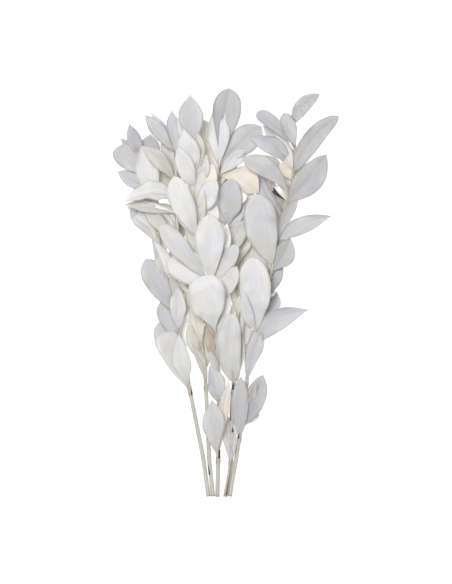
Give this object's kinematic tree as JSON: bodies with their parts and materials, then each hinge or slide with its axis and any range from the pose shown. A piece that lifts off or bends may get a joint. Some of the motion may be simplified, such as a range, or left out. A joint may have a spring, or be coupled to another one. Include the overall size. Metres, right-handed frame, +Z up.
{
  "type": "dried ruscus bunch",
  "caption": "Loose bunch of bleached dried ruscus: slender cut stems lying side by side, fanning out into a dense head of pale pointed leaves.",
  "frame": {"origin": "centre of the bounding box's footprint, on the surface the bunch lies on", "axes": "+Y along the stems from the cut ends to the leaves, +X across the fan, +Z up from the surface"},
  "size_m": [0.2714, 0.4937, 0.1074],
  "materials": {
    "bleached_foliage": "dried and bleached plant, matt, chalky white with faint cream and violet-grey tints"
  },
  "bodies": {
    "root": {"leafy_stem_left": "bleached_foliage", "leafy_stem_inner": "bleached_foliage", "leafy_stem_front": "bleached_foliage", "leafy_stem_middle": "bleached_foliage", "leafy_stem_right": "bleached_foliage"}
  },
  "joints": []
}
